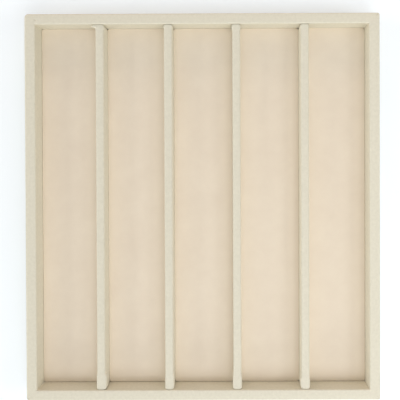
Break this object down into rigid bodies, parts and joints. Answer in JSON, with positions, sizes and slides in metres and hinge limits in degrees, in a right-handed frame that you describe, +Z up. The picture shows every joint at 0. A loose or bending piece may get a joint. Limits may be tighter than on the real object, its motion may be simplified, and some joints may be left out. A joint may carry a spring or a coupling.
{
  "type": "jewelry tray",
  "caption": "Shallow rectangular leatherette tray with long dividers and suede floor pads, for laying out jewelry in a drawer or on a dresser.",
  "frame": {"origin": "centre of the felt-covered face that the tray rests on", "axes": "+Z up, +Y to the back along the dividers, +X to the right across the compartments"},
  "size_m": [0.305, 0.333, 0.026],
  "materials": {
    "leatherette": "fine-grained cream leatherette, satin",
    "suede": "short-napped beige microsuede",
    "fibreboard": "raw medium density fibreboard",
    "greyboard": "raw grey card",
    "foam": "thin open-cell foam",
    "felt": "taupe pressed felt",
    "brads": "bright steel"
  },
  "bodies": {
    "root": {"back_wall_board": "fibreboard", "back_wall_cover": "leatherette", "base_board": "fibreboard", "base_brads": "brads", "base_felt": "felt", "corner_brads": "brads", "divider_board_1": "fibreboard", "divider_board_2": "fibreboard", "divider_board_3": "fibreboard", "divider_board_4": "fibreboard", "divider_brads": "brads", "divider_cover_1": "leatherette", "divider_cover_2": "leatherette", "divider_cover_3": "leatherette", "divider_cover_4": "leatherette", "front_wall_board": "fibreboard", "front_wall_cover": "leatherette", "left_wall_board": "fibreboard", "left_wall_cover": "leatherette", "pad_card_1": "greyboard", "pad_card_2": "greyboard", "pad_card_3": "greyboard", "pad_card_4": "greyboard", "pad_card_5": "greyboard", "pad_foam_1": "foam", "pad_foam_2": "foam", "pad_foam_3": "foam", "pad_foam_4": "foam", "pad_foam_5": "foam", "pad_lining_1": "suede", "pad_lining_2": "suede", "pad_lining_3": "suede", "pad_lining_4": "suede", "pad_lining_5": "suede", "right_wall_board": "fibreboard", "right_wall_cover": "leatherette"}
  },
  "joints": []
}
